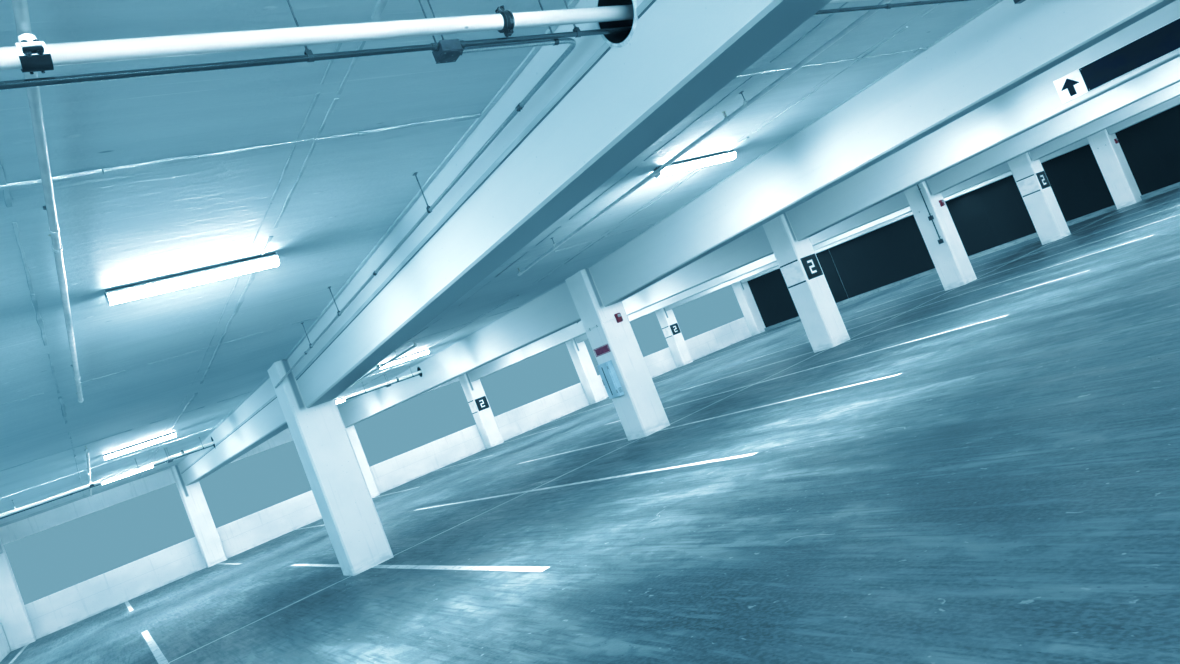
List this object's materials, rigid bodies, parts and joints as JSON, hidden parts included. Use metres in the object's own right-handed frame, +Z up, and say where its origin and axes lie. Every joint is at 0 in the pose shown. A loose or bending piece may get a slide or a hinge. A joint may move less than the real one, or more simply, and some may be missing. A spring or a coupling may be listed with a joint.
{
  "type": "multi storey car park",
  "caption": "One storey of a multi storey car park: floor deck, column rows, sleeved beams under a folded upper deck, open facade panels, sprinkler pipes, conduits, batten lamps and signs",
  "frame": {"origin": "centre of the footprint, on the underside of the floor deck", "axes": "+X along the column rows towards the closed end wall, +Y across the aisles towards the back row, +Z up"},
  "size_m": [33.8266, 37.4866, 5.0119],
  "materials": {
    "floor_concrete": "trowelled concrete with tyre polish",
    "deck_concrete": "board marked concrete, thinly painted below",
    "column_paint": "concrete with white masonry paint",
    "beam_paint": "concrete with white masonry paint",
    "panel_concrete": "cast concrete with white masonry paint",
    "dark_wall_paint": "concrete with dark teal paint",
    "kerb_paint": "painted concrete kerb",
    "pipe_paint": "white gloss enamel on steel pipe",
    "coupling_iron": "painted ductile iron",
    "hanger_steel": "zinc plated steel",
    "head_brass": "chrome washed brass",
    "conduit_steel": "galvanized steel conduit, dulled",
    "box_steel": "dark enamelled steel box",
    "lamp_paint": "white enamelled sheet steel",
    "lamp_lens": "opal acrylic",
    "sign_dark": "navy enamel",
    "sign_light": "white enamel",
    "plate_dark": "black enamel",
    "alarm_red": "moulded red plastic",
    "alarm_lens": "clear lens",
    "cabinet_paint": "pale blue enamel",
    "notice_red": "dark red enamel"
  },
  "bodies": {
    "root": {"floor_deck": "floor_concrete", "upper_deck": "deck_concrete", "front_columns": "column_paint", "middle_columns": "column_paint", "back_columns": "column_paint", "front_beams": "beam_paint", "back_beams": "beam_paint", "front_base_panels": "panel_concrete", "back_base_panels": "panel_concrete", "side_base_panels": "panel_concrete", "end_wall": "dark_wall_paint", "front_upper_panels": "panel_concrete", "back_upper_panels": "panel_concrete", "side_upper_panels": "panel_concrete", "end_upper_panels": "panel_concrete", "end_kerb": "kerb_paint", "sprinkler_mains": "pipe_paint", "main_couplings": "coupling_iron", "main_hangers": "hanger_steel", "branch_pipes": "pipe_paint", "branch_risers": "pipe_paint", "branch_hangers": "hanger_steel", "sprinkler_heads": "head_brass", "long_conduits": "conduit_steel", "conduit_clips": "hanger_steel", "junction_boxes": "box_steel", "beam_conduit": "conduit_steel", "conduit_hangers": "hanger_steel", "lamp_housings": "lamp_paint", "lamp_lenses": "lamp_lens", "sign_panel": "sign_dark", "sign_arrow_panel": "sign_light", "sign_arrow": "sign_dark", "column_plates": "plate_dark", "plate_numbers": "sign_light", "alarm_bases": "alarm_red", "alarm_lenses": "alarm_lens", "cabinet_body": "cabinet_paint", "cabinet_door": "cabinet_paint", "cabinet_handle": "hanger_steel", "notice_plate": "notice_red", "riser_conduits": "conduit_steel", "riser_boxes": "box_steel"}
  },
  "joints": []
}
